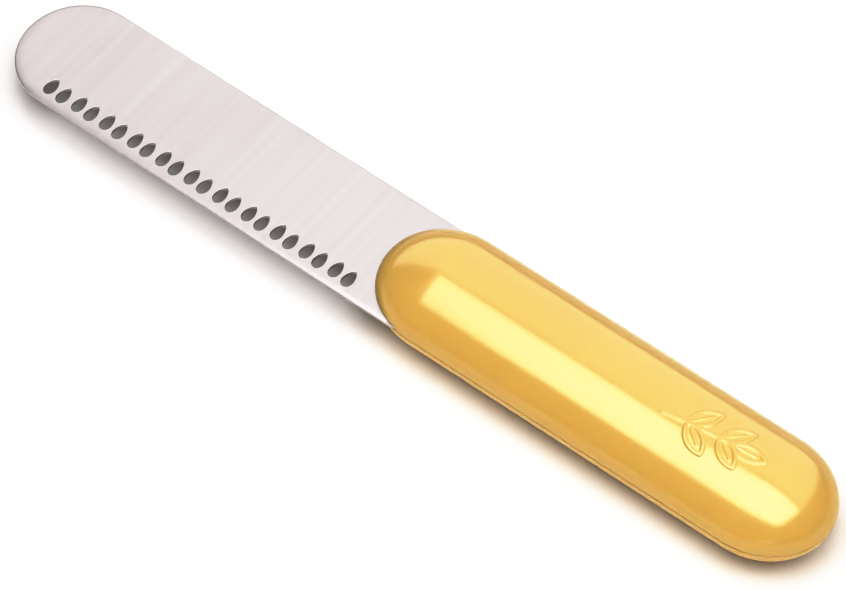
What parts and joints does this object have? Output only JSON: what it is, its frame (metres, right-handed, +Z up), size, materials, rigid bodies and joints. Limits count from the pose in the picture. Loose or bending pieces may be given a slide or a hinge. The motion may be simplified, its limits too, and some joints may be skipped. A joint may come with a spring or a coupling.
{
  "type": "butter spreader knife",
  "caption": "Butter spreader with a flat round-tipped stainless blade, a row of teardrop holes beside its bevelled edge, and a rounded two-shell plastic handle.",
  "frame": {"origin": "middle of the footprint on the surface that the handle lies on", "axes": "+X along the knife towards the butt of the handle, +Z up from the surface; the holes and the cutting edge are on the -Y side"},
  "size_m": [0.2, 0.0276, 0.0178],
  "materials": {
    "stainless": "satin, finely ground across the blade",
    "yellow_plastic": "glossy injection moulded, warm yellow"
  },
  "bodies": {
    "root": {"blade": "stainless", "handle_upper_shell": "yellow_plastic", "handle_lower_shell": "yellow_plastic"}
  },
  "joints": []
}
